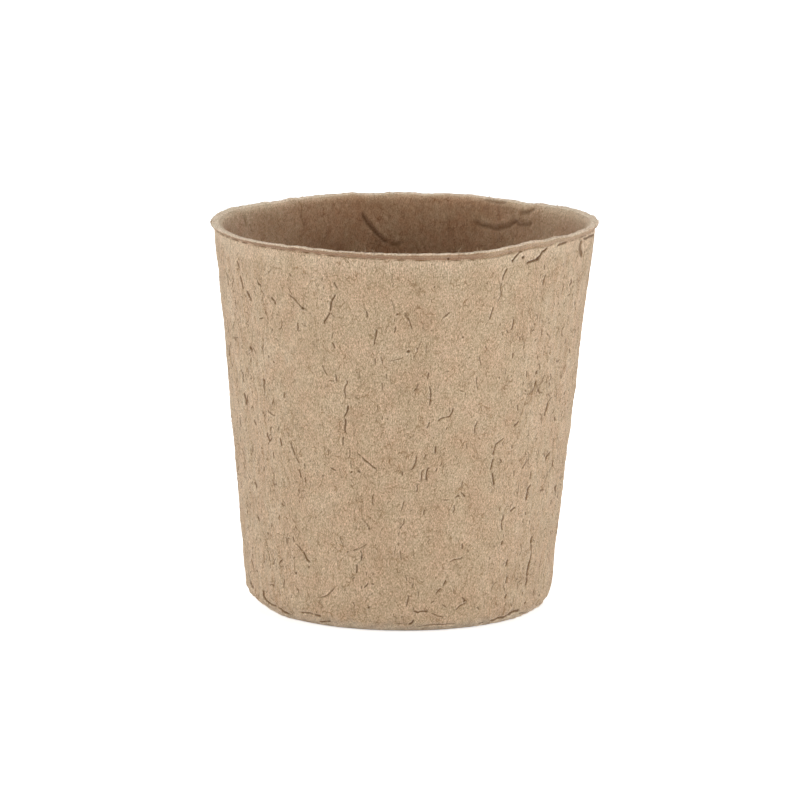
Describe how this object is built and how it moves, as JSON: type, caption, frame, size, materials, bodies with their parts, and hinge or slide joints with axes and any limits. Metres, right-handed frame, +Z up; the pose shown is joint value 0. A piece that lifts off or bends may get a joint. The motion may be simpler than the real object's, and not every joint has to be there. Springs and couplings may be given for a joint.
{
  "type": "plant pot",
  "caption": "Round moulded-fibre plant pot for seedlings: thin tapered wall, flared lip, rounded foot and a drain hole in the floor.",
  "frame": {"origin": "centre of the standing face, on the floor plane", "axes": "+Z up along the pot's axis, from the standing face to the mouth; X and Y level and equal"},
  "size_m": [0.08, 0.08, 0.08],
  "materials": {
    "moulded_fibre": "rough matt moulded wood-fibre and peat pulp"
  },
  "bodies": {
    "root": {"moulded_pot": "moulded_fibre"}
  },
  "joints": []
}
